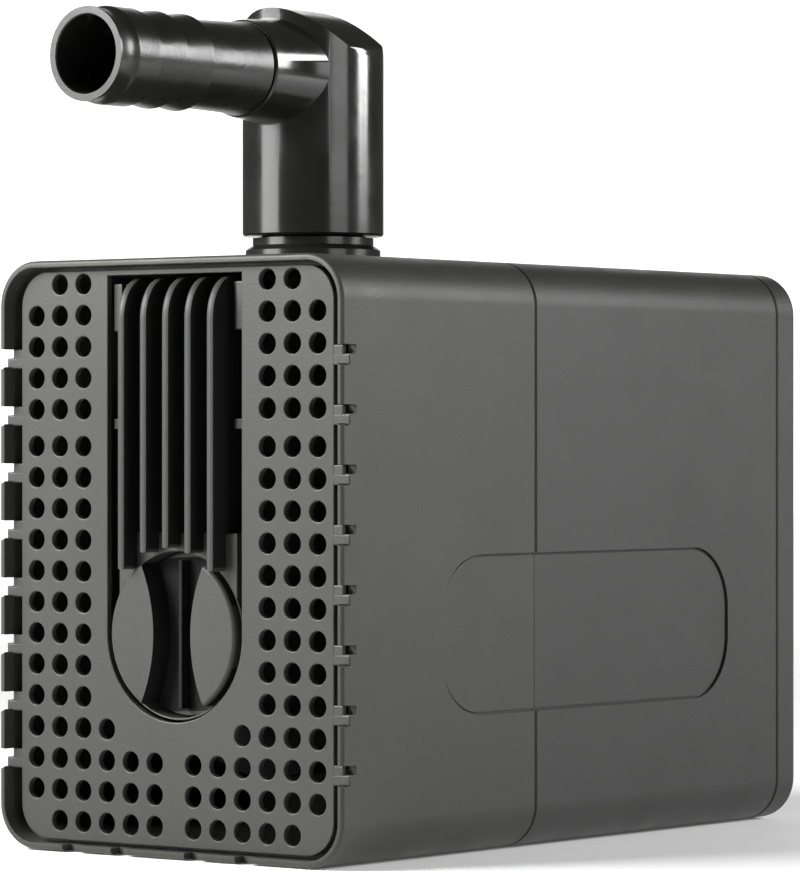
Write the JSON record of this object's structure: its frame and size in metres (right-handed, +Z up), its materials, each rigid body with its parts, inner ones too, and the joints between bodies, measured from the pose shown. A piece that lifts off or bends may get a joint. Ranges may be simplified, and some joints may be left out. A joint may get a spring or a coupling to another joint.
{
  "type": "submersible fountain pump",
  "caption": "Compact box-shaped submersible fountain pump with a perforated slide-off cage, flow dial and swivel elbow with a barbed hose tail.",
  "frame": {"origin": "centre of the flat underside of the body, where it rests", "axes": "+Z up; -Y out of the perforated front, the way the hose tail points at rest; +X to the right seen from the front, the side with the recessed panel"},
  "size_m": [0.0686, 0.1474, 0.1314],
  "materials": {
    "housing": "satin, fine-textured moulding",
    "cage_plastic": "satin, fine-textured moulding",
    "black_plastic": "gloss",
    "rubber": "matt",
    "nylon": "satin",
    "ceramic": "polished",
    "ferrite": "ground",
    "lamination": "stamped laminations",
    "copper": "enamelled wire",
    "steel": "bright"
  },
  "bodies": {
    "pump_body": {"motor_housing": "housing", "rear_cover": "housing", "rear_gasket": "rubber", "cord_gland": "black_plastic", "gland_seal": "rubber", "rotor_can": "nylon", "can_seal": "rubber", "stator_core": "lamination", "coil_bobbin_left": "nylon", "coil_bobbin_right": "nylon", "coil_winding_left": "copper", "coil_winding_right": "copper", "thermal_fuse": "nylon", "volute_body": "housing", "volute_seal": "rubber", "rotor_shaft": "ceramic", "front_bushing": "rubber", "rear_bushing": "rubber", "thrust_washer_front": "ceramic", "thrust_washer_rear": "ceramic", "intake_grille": "cage_plastic", "outlet_collar": "black_plastic", "riser_oring": "rubber", "cover_screw_1": "steel", "volute_screw_1": "steel", "cover_screw_2": "steel", "volute_screw_2": "steel", "cover_screw_3": "steel", "volute_screw_3": "steel", "cover_screw_4": "steel", "volute_screw_4": "steel"},
    "cage": {"strainer_cage": "cage_plastic", "intake_screen": "cage_plastic"},
    "dial": {"flow_dial": "cage_plastic", "dial_clip": "steel", "flow_gate": "nylon"},
    "rotor": {"impeller": "nylon", "rotor_sleeve": "nylon", "rotor_magnet": "ferrite"},
    "elbow": {"outlet_elbow": "black_plastic", "hose_tail": "black_plastic", "tail_oring": "rubber"}
  },
  "joints": [
    {"name": "cage_slide", "type": "slide", "parent": "pump_body", "child": "cage", "axis": [0, -1, 0], "range_m": [0, 0.06]},
    {"name": "dial_turn", "type": "hinge", "parent": "pump_body", "child": "dial", "pos_m": [0, -0.05, 0.034], "axis": [0, 1, 0], "range_deg": [0, 90]},
    {"name": "rotor_spin", "type": "hinge", "parent": "pump_body", "child": "rotor", "pos_m": [0, 0, 0.034], "axis": [0, 1, 0], "continuous": true},
    {"name": "elbow_swivel", "type": "hinge", "parent": "pump_body", "child": "elbow", "pos_m": [0, -0.02595, 0.12], "axis": [0, 0, 1], "continuous": true}
  ]
}
